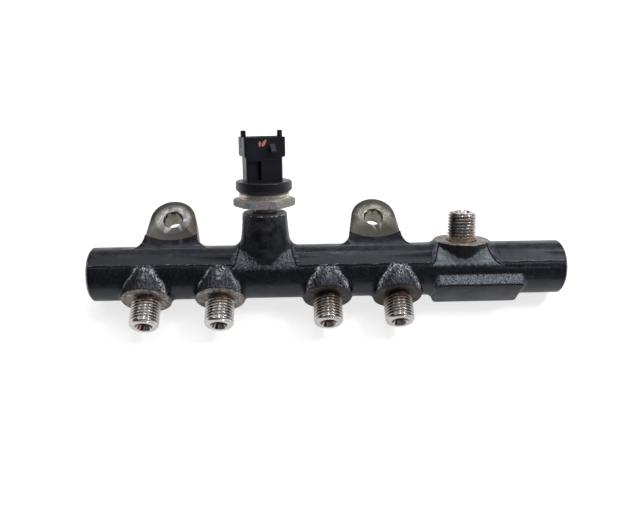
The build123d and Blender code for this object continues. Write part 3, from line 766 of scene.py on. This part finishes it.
def skin_step(points):
    """Longest edge that the skin may have at each place, in millimetres."""
    rough = np.maximum(np.maximum(boss_zone(points), upper_zone(points)), pad_zone(points))
    step = np.where(rough > 0.05, SCALE_EDGE, SKIN_EDGE)
    near_line = (np.abs(past_land(points)) < 0.9) | (lug_crease(points) > 0.02)
    near_line |= (seam_fold(points) > 0.02) | (upper_groove(points)[0] > 0.02)
    step = np.where(near_line, MARK_EDGE, step)
    return np.where(from_tube(points) < BORE_LIMIT, BORE_EDGE, step)


def surface_kinds(points, faces):
    """Number of the finish of each face: 0 paint, 1 and 2 lug faces, 3 flange, 4 end, 5 hole, 6 boss top."""
    corner = points[faces]
    middle = corner.mean(axis=1)
    lean = np.cross(corner[:, 1] - corner[:, 0], corner[:, 2] - corner[:, 0])
    lean /= np.maximum(np.linalg.norm(lean, axis=1, keepdims=True), 1e-12)
    kinds = np.zeros(len(faces), int)
    x, y, z = middle.T
    flat = np.abs(lean[:, 2]) > 0.999
    on_face = flat & ((np.abs(z - LUG_THICKNESS) < SMALLEST_STEP) | (np.abs(z) < SMALLEST_STEP))
    on_face &= y > RAIL_Y + 11
    for kind, lug_x in ((1, -LUG_X), (2, LUG_X)):
        kinds[on_face & (np.abs(x - lug_x) < 25)] = kind
        away = np.hypot(x - lug_x, y)
        kinds[(away < BOLT_HOLE_RADIUS + 0.55) & (z > -0.1) & (z < LUG_THICKNESS + 0.1) & ~on_face] = 5
    bosses = [(outlet_x, OUTLET_AXIS, OUTLET_FACE, 3) for outlet_x in OUTLET_X]
    bosses += [(INLET_X, UPPER_AXIS, INLET_FACE, 3), (SENSOR_X, UPPER_AXIS, SENSOR_FACE, 6)]
    for boss_x, axis, face, kind in bosses:
        away, height = from_boss(middle, boss_x, axis)
        kinds[(np.abs(height - face) < SMALLEST_STEP) & (away < BOSS_REACH) & (lean @ axis > 0.999)] = kind
    along = corner[:, :, 0]
    at_left = along.max(axis=1) < LEFT_END + END_BEVEL + SMALLEST_STEP
    at_right = along.min(axis=1) > RIGHT_END - END_BEVEL - SMALLEST_STEP
    kinds[at_left | at_right] = 4
    return kinds


def without_stubs(points, faces):
    """Faces of the body with the five stubs taken off at their flanges."""
    keep = np.ones(len(faces), bool)
    stubs = [(x, OUTLET_AXIS, OUTLET_FACE) for x in OUTLET_X] + [(INLET_X, UPPER_AXIS, INLET_FACE)]
    for x, axis, face in stubs:
        away, height = from_boss(points, x, axis)
        outside = (away < STUB_CLEAR) & (height > face - SMALLEST_STEP)
        keep &= ~outside[faces].all(axis=1)
    return faces[keep]


def fine_skin():
    """(points, normals, faces, kinds) of the rail body without stubs, refined, and joined along its edges."""
    points, normals, faces, shared = mesh_arrays("rail_body")
    faces = without_stubs(points, faces)
    points, normals, faces, shared = refine(points, normals, faces, shared, skin_step)
    count = shared.max() + 1
    joined, outward = np.zeros((count, 3)), np.zeros((count, 3))
    np.add.at(joined, shared, points)
    np.add.at(outward, shared, normals)
    joined /= np.maximum(np.bincount(shared, minlength=count)[:, None], 1)
    kinds = surface_kinds(points, faces)
    faces = shared[faces]
    whole = (faces[:, 0] != faces[:, 1]) & (faces[:, 1] != faces[:, 2]) & (faces[:, 2] != faces[:, 0])
    faces, kinds = faces[whole], kinds[whole]
    used, faces = np.unique(faces, return_inverse=True)
    return joined[used], unit_rows(outward)[used], faces.reshape(-1, 3), kinds


def forged_skin(materials):
    """The rail body's own surface, made finer so that scale, trim marks and the flash line are real relief."""
    points, outward, faces, kinds = fine_skin()
    piece = add_piece("rail_skin", points, faces)
    piece.data.set_sharp_from_angle(angle=radians(24))
    for material in materials:
        piece.data.materials.append(material)
    piece.data.polygons.foreach_set("material_index", kinds.astype(np.int32))

    # Where each kind of skin lies
    x, y, z = points.T
    depth = RAIL_Y - y
    painted = np.ones(len(points))
    painted[faces[kinds > 0].ravel()] = 0
    painted[from_tube(points) < BORE_LIMIT] = 0
    boss, upper, pad = boss_zone(points), upper_zone(points), pad_zone(points)
    scaly = np.maximum(np.maximum(boss, upper), 0.8 * pad)
    is_scaly = scaly > 0
    line = past_land(points)
    at_die = line < FAR
    at_line = np.abs(line) < 1.5
    die_side = fade(line, 0.0, 1.0) * at_die
    by_land = (y < RAIL_Y + LAND_HALF_WIDTH) & (from_tube(points) < TUBE_RADIUS + 0.4)
    land = (line < 0.1) & by_land
    is_land = land & (scaly < 0.5)
    quiet = 1 - 0.7 * fade(x, INLET_X + 8, INLET_X + 14)
    on_right = fade(x, INLET_X + 10, INLET_X + 16)
    right_inlet = x > INLET_X - 20

    # Heights of 0 to 1 of what stands proud or lies sunk
    drawn_out = points * (0.4, 1.0, 1.0)
    ragged = grain(drawn_out, at_line, 1.4, seed=4.0)
    burr = hump(line + 0.12 + 0.12 * ragged, 0.28) * fade(ragged, -0.3, 0.35)
    undercut = hump(line - 0.5, 0.3) * fade(grain(drawn_out, at_line, 3.0, seed=5.0), -0.4, 0.2)
    streaky = points * (1.0, 0.45, 1.0)
    lumps = grain(streaky, is_scaly, 1.5, seed=1.0) + 0.6 * grain(streaky, is_scaly, 0.75, seed=2.0)
    ridges = 1 - 2 * np.abs(grain(points, is_scaly, 2.6, octaves=2, seed=6.0))
    swell = grain(points, painted > 0, 6.0, octaves=1, seed=3.0)
    seam = seam_fold(points) * fade(grain(points, is_scaly, 2.0, seed=9.0), -0.35, 0.25)
    crease = lug_crease(points)
    groove, lip = upper_groove(points)
    # Painted shadow: a dark line under the edge of the clamp pad's flat
    pad_edge_shadow = pad_flat(points + (0.0, -0.6, 0.0)) * hump(depth - PAD_FLAT - 0.25, 0.42) * (z > RAIL_Z + 5.5)

    # Relief in millimetres; the step lifts the land's lower edge to the height that the die left
    step = np.where(is_land & (y < RAIL_Y - LAND_HALF_WIDTH + 0.05), RAIL_Z + LAND_HEIGHT - z, 0.0)
    step = np.clip(step, 0, STEP_HEIGHT) * (1 - fade(line, -0.15, 0.1))
    lift = (0.15 + 0.05 * boss) * scaly * lumps + 0.10 * boss * ridges + 0.12 * boss
    lift += 0.06 * die_side * swell + 0.13 * burr - 0.16 * quiet * undercut + 0.22 * seam + 0.12 * crease
    lift += 0.16 * lip - 0.30 * groove + quiet * step
    moved = points + outward * (painted * lift)[:, None]
    moved[:, 0] = np.clip(moved[:, 0], LEFT_END, RIGHT_END)
    moved[:, 2] = np.maximum(moved[:, 2], rail_low.z / MM)
    piece.data.vertices.foreach_set("co", (moved * MM).ravel())
    piece.data.update()

    # Layers that the paint reads
    soft = (1 - fade(line, -1.4, 2.2)) * by_land
    shade = boss * boss_side(points)
    on_sensor = (np.abs(x - SENSOR_X) < 14) & (y > RAIL_Y + 8)
    faint = hump(line + 0.3 + 0.7 * ragged, 0.22) + 0.7 * hump(line - 2.6 + 0.6 * swell, 0.25) * at_die
    layers = {
        "scaly": scaly + 0.2 * die_side,
        # pale scale, partly painted sheen
        "pale": 0.78 * upper + 0.15 * right_inlet * upper + 0.9 * pad,
        "land": is_land * (1 - on_right) + soft * on_right,
        # painted light on the inlet boss's front
        "frost": right_inlet * upper,
        "flat": pad_flat(points),
        # painted shade: undercut, grooves, under the pad's edge, left flanks of the first two bosses
        "dark": quiet * undercut + groove + pad_edge_shadow + 0.7 * shade,
        # painted glints on the outlet bosses, kept off their painted shade
        "glint": boss_painted_glint(points) * fade(boss, 0.0, 0.3) * (1 - shade),
        "hazy": (0.45 * (scaly < 0.5) * (y > RAIL_Y - 4) + 0.55 * on_sensor) * ~land,
        # painted highlight along the seams, the crease, the lips and the faint parting lines
        "fold": 0.9 * seam + 0.35 * crease + 0.3 * lip + 0.16 * on_right * faint,
        "chips": quiet * fade(burr + 0.5 * grain(drawn_out, at_line, 0.6, seed=7.0), 0.75, 1.0),
    }
    for name, values in layers.items():
        add_layer(piece, name, np.clip(values, 0, 1) * painted)
    lighter = piece.modifiers.new("lighter", "DECIMATE")
    lighter.ratio = SKIN_TRIANGLES / len(faces)
    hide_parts("rail_body")
    return piece


# ---------------- threaded stubs
def thread_radius(height, turn, crest):
    """Radius of an M14 x 1.5 thread at a height and an angle."""
    phase = (height / PITCH - turn / (2 * pi)) % 1.0
    from_crest = np.minimum(phase, 1 - phase) * PITCH
    share = np.clip((from_crest - PITCH / 16) / (PITCH * 5 / 16), 0, 1)
    return crest - THREAD_DEPTH * share


def threaded_stub(name, mount, foot_radius, foot_length, material):
    """Stub with its foot, thread, rounded nose and cone seat, as one turned surface."""
    crest = mount["dims"]["r_mm"]
    wall = mount["dims"]["length_mm"]
    axis = Vector(mount["axis"]).normalized()
    origin = Vector(mount["pos_m"]) / MM - axis * (wall / 2)
    tip = wall + NOSE
    turns = np.linspace(0, 2 * pi, TURN_STEPS, endpoint=False)
    heights = np.concatenate([
        np.array([-foot_length - 0.2, -foot_length + 0.02, -foot_length + 0.3]),
        np.linspace(-foot_length + 0.5, -SHOULDER, 6),
        np.arange(-SHOULDER + THREAD_STEP, tip - THREAD_STEP / 2, THREAD_STEP),
        [tip],
    ])
    ring = np.ones(TURN_STEPS)
    rows, layers = [], []
    for height in heights:
        if height <= -SHOULDER:
            radii = foot_radius * ring
        else:
            radii = thread_radius(height, turns, crest)
            shoulder = foot_radius + (crest - foot_radius) * min(1.0, (height + SHOULDER) / SHOULDER)
            radii = np.minimum(radii, shoulder)
        past = np.clip((height - (tip - NOSE_ROUND)) / NOSE_ROUND, 0, 1)
        radii = np.minimum(radii, NOSE_RADIUS + (crest - NOSE_RADIUS) * np.sqrt(1 - past**2))
        rows.append((height, radii))
        layers.append(np.clip((crest - radii) / THREAD_DEPTH, 0, 1) * (past < 0.02))
    rows += [(tip, (CONE_MOUTH + MOUTH_EDGE) * ring), (tip - 0.08, CONE_MOUTH * ring)]
    for share in np.linspace(0.12, 1.0, CONE_STEPS):
        rows.append((tip - share * CONE_DEPTH, (CONE_MOUTH + share * (PASSAGE - CONE_MOUTH)) * ring))
    rows.append((tip - CONE_DEPTH - PASSAGE_SHOWN, PASSAGE * ring))
    layers += [0 * ring] * (len(rows) - len(layers))
    outer = len(rows) - CONE_STEPS - 2  # the rows before the seat's mouth
    depths = np.clip([(tip - height) / CONE_DEPTH for height, _ in rows[outer:]], 0, 1)
    seats = np.concatenate([np.zeros((outer, TURN_STEPS)), np.repeat(depths[:, None], TURN_STEPS, 1)])
    ways = np.stack([np.cos(turns), np.sin(turns), np.zeros(TURN_STEPS)], 1) * 3.0
    streaks = fade(np.array([noise.fractal(way, 1.0, 2.0, 4) for way in ways.tolist()]), -0.12, 0.22)

    side = Vector((1, 0, 0))
    up = axis.cross(side)
    points = []
    for height, radii in rows:
        across = np.outer(np.cos(turns) * radii, side) + np.outer(np.sin(turns) * radii, up)
        points.append(np.array(origin + axis * height) + across)
    points = np.vstack(points)
    step = np.arange(TURN_STEPS)
    after = (step + 1) % TURN_STEPS
    faces = []
    for row in range(len(rows) - 1):
        low, high = row * TURN_STEPS, (row + 1) * TURN_STEPS
        faces.append(np.stack([low + step, low + after, high + after, high + step], 1))
    piece = add_piece(name, points, np.vstack(faces))
    piece.data.set_sharp_from_angle(angle=radians(50))
    piece.data.materials.append(material)
    add_layer(piece, "root", np.concatenate(layers))
    rises = [(height + foot_length) / (tip + foot_length) for height, _ in rows]
    add_layer(piece, "rise", np.repeat(rises, TURN_STEPS))
    add_layer(piece, "seat", seats.ravel())
    add_layer(piece, "streak", np.tile(streaks, len(rows)))
    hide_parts("rail_body")
    return piece


# ---------------- sensor
def sleeve_steel():
    """Drawn sleeve: bright below, darkened next to the plastic."""
    steel = Shader("sleeve_steel", Metallic=0.72)
    height = steel.along(SENSOR_ORIGIN, UPPER_AXIS)
    film = steel.noise(2.5, detail=4.0)
    bright = steel.mix(film.ramp(0.35, 0.7), (0.86, 0.82, 0.78), (0.66, 0.58, 0.52))
    bright = steel.mix(steel.bands(height, 1.3).ramp(0.5, 0.7), bright, (0.48, 0.40, 0.35))
    dark = steel.mix(film, (0.13, 0.10, 0.08), (0.26, 0.20, 0.15))
    above = height.ramp(SLEEVE_DARK - 0.2, SLEEVE_DARK + 0.3)
    steel.relief(steel.noise(2.0), 0.02)
    return steel.finish(steel.mix(above, bright, dark), film.ramp(0.3, 0.7, 0.18, 0.32))


def hexagon_steel():
    """Zinc-plated hexagon, with pink and blue tints in its film and one dark scratch down the front flat."""
    steel = Shader("hexagon_steel", Metallic=0.45)
    height = steel.along(SENSOR_ORIGIN, UPPER_AXIS)
    x, y, _ = steel.place()
    speck = steel.noise(0.55, detail=3.0)
    tinted = steel.mix(steel.noise(5.0, detail=2.0).ramp(0.3, 0.6), (0.80, 0.69, 0.73), (0.70, 0.62, 0.655))
    pink = x.window(SENSOR_X - 4.2, SENSOR_X - 3.4, SENSOR_X + 7.6, SENSOR_X + 9.4)
    film = steel.mix(pink, (0.50, 0.49, 0.46), tinted)
    bluish = x.window(SENSOR_X - 6.6, SENSOR_X - 5.8, SENSOR_X - 3.6, SENSOR_X - 3.0)
    film = steel.mix(bluish * 0.8, film, (0.54, 0.59, 0.72))
    film = steel.mix(speck.ramp(0.38, 0.55, 0.75, 0.0), film, (0.24, 0.23, 0.22))
    scratch = abs(x - (SENSOR_X + SCRATCH_X)).ramp(0.1, 0.3, 1.0, 0.0)
    on_front = y.ramp(RAIL_Y + 14.5, RAIL_Y + 15.0, 1.0, 0.0)
    film = steel.mix(scratch * on_front, film, (0.05, 0.035, 0.035))
    on_neck = height.ramp(NECK_TOP - 0.05, NECK_TOP + 0.02, 1.0, 0.0)
    steel.relief(speck, 0.03)
    return steel.finish(steel.mix(on_neck, film, (0.30, 0.29, 0.28)), steel.blend(on_neck, 0.46, 0.12))


def connector_plastic():
    """Black moulded plastic, with two careless dabs of salmon paint on the front of the shroud."""
    plastic = Shader("sensor_plastic", Specular_IOR_Level=0.55, Specular_Tint=(0.84, 0.87, 1.0, 1.0))
    cloud = plastic.noise(6.0)
    body = plastic.mix(cloud, (0.0115, 0.0115, 0.0165), (0.0185, 0.0187, 0.024))
    across, height, depth = (
        plastic.along(SHROUD_FRONT, axis) for axis in (CONNECTOR_X_AXIS, UPPER_AXIS, CONNECTOR_FRONT)
    )
    ragged = (plastic.noise(0.9, detail=3.0, stretch=(1.0, 0.4, 0.4)) - 0.5) * 5.0
    cover = 0.0
    for x, z, half_width, half_height, slant in DABS:
        level = height - z
        wide = (across - x - level * slant) / half_width
        tall = level / half_height
        spread = wide * wide + tall * tall + ragged
        cover = plastic.math("MAXIMUM", cover, spread.ramp(0.75, 1.1, 1.0, 0.0))
    cover = cover * depth.ramp(-0.12, -0.04)
    salmon = plastic.mix(plastic.noise(0.8), (0.86, 0.25, 0.165), (0.95, 0.43, 0.34))
    plastic.relief(plastic.noise(0.35, detail=2.0), 0.018)
    gloss = plastic.blend(cover, cloud.ramp(0.3, 0.7, 0.3, 0.4), 0.6)
    return plastic.finish(plastic.mix(cover, body, salmon), gloss)


def dress_sensor():
    """Gives the CAD nodes of the sensor and of the end plug their materials."""
    materials = {
        "sensor_connector": connector_plastic(),
        "sensor_port": hexagon_steel(),
        "sensor_sleeve": sleeve_steel(),
        "sensor_measuring_cell": turned_steel("cell_steel", (0.62, 0.61, 0.60), 0.3),
        "sensor_seal_ring": moulded_plastic("seal_rubber", (0.02, 0.02, 0.02), 0.6),
        "sensor_board_carrier": moulded_plastic("carrier_plastic", (0.12, 0.12, 0.12), 0.5),
        "sensor_circuit_board": moulded_plastic("board_laminate", (0.05, 0.20, 0.09), 0.45),
        "sensor_chip": moulded_plastic("chip_resin", (0.02, 0.02, 0.02), 0.5),
        "end_plug": turned_steel("plug_steel", (0.42, 0.41, 0.40), 0.4),
    }
    contact = turned_steel("contact_metal", (0.62, 0.56, 0.42), 0.28)
    for number in (1, 2, 3):
        materials[f"sensor_terminal_{number}"] = contact
        materials[f"sensor_contact_spring_{number}"] = contact
    for node, material in materials.items():
        mesh = frame["nodes"][node].data
        mesh.materials.clear()
        mesh.materials.append(material)


# ---------------- studio
def add_object(name, data):
    """New object in the scene."""
    made = bpy.data.objects.new(name, data)
    bpy.context.scene.collection.objects.link(made)
    return made


def add_camera():
    """Camera above the front of the rail."""
    data = bpy.data.cameras.new("camera")
    data.sensor_width = SENSOR_WIDTH
    data.lens = FOCAL_PIXELS / FRAME_PIXELS * SENSOR_WIDTH
    data.clip_start = 0.01
    camera = add_object("camera", data)
    turned = Matrix.Rotation(CAMERA_TILT, 4, "X") @ Matrix.Rotation(-CAMERA_YAW, 4, "Y")
    turned = turned @ Matrix.Rotation(-CAMERA_ROLL, 4, "Z")
    centre = Vector((VIEW_CENTRE_X, RAIL_Y, RAIL_Z)) * MM
    offset = turned @ Vector((*CAMERA_SHIFT, CAMERA_DISTANCE))
    camera.matrix_world = Matrix.Translation(centre + offset) @ turned
    bpy.context.scene.camera = camera


def add_lamp(name, place, size, radiance):
    """Rectangular white light that looks at the rail; a mirror shows a radiance of 1 as white."""
    data = bpy.data.lights.new(name, "AREA")
    data.shape = "RECTANGLE"
    data.size, data.size_y = size
    data.energy = radiance * pi * size[0] * size[1]
    lamp = add_object(name, data)
    lamp.location = place
    target = Vector((VIEW_CENTRE_X * MM, RAIL_Y * MM, 0.0))
    lamp.rotation_euler = (target - Vector(place)).to_track_quat("-Z", "Y").to_euler()


def add_floor():
    """Pale floor that stays white to the camera and keeps the object's shadow."""
    mesh = bpy.data.meshes.new("floor")
    height = rail_low.z - FLOOR_GAP
    corners = [(x * FLOOR_HALF, y * FLOOR_HALF, height) for x, y in ((-1, -1), (1, -1), (1, 1), (-1, 1))]
    mesh.from_pydata(corners, [], [(0, 1, 2, 3)])
    floor = add_object("floor", mesh)
    paper = Shader("floor_paper", Base_Color=(0.8, 0.8, 0.8, 1), Roughness=1.0, Specular_IOR_Level=0.0,
                   Emission_Color=(1, 1, 1, 1))
    rays = paper.node("ShaderNodeLightPath").outputs
    seen = paper.math("MAXIMUM", rays["Is Camera Ray"], rays["Is Transmission Ray"])
    mirrored = paper.math("MULTIPLY", rays["Is Glossy Ray"], 0.42)
    paper.put("Emission Strength", seen * 0.74 + mirrored)
    mesh.materials.append(paper.material)


def add_world():
    """Even surroundings, darker on the side that the photographer stood on and to the left."""
    world = bpy.data.worlds.new("studio")
    world.use_nodes = True
    nodes = Nodes(world.node_tree)
    direction = nodes.node("ShaderNodeTexCoord").outputs["Generated"]
    facing = nodes.node("ShaderNodeVectorMath", {"operation": "DOT_PRODUCT"})
    nodes.connect(facing.inputs[0], direction)
    nodes.connect(facing.inputs[1], (0.0, -sin(CAMERA_TILT), cos(CAMERA_TILT)))
    light = Number(nodes, facing.outputs["Value"]).ramp(0.3, 0.95, 0.27, 0.12)
    light = light * nodes.parts(direction)[0].ramp(-0.9, 0.2, 0.25, 1.0, smooth=False)
    background = nodes.tree.nodes["Background"]
    nodes.connect(background.inputs["Strength"], light)
    background.inputs["Color"].default_value = (1.0, 1.0, 1.0, 1)
    bpy.context.scene.world = world


# ---------------- the whole picture
finishes = [
    painted_forging(),
    lug_steel("lug_steel_left", -LUG_X, polished=True),
    lug_steel("lug_steel_right", LUG_X, polished=False),
    stained_steel("flange_steel", (0.50, 0.48, 0.46), (0.24, 0.19, 0.165), made_darker=True),
    stained_steel("end_steel", (0.40, 0.38, 0.35), (0.25, 0.2, 0.16)),
    turned_steel("hole_steel", (0.30, 0.285, 0.24), 0.24, tint=(0.21, 0.195, 0.16)),
    stained_steel("boss_top_steel", (0.62, 0.60, 0.58), (0.36, 0.33, 0.30), metallic=0.4),
]
forged_skin(finishes)
threads = thread_steel()
for number, outlet in enumerate(outlets, 1):
    threaded_stub(f"outlet_thread_{number}", outlet, 6.0, 2.2, threads)
threaded_stub("inlet_thread", inlet, 7.4, 2.6, threads)
dress_sensor()

add_world()
add_floor()
add_camera()
for lamp in LAMPS:
    add_lamp(*lamp)

bpy.context.scene.view_settings.view_transform = "Standard"
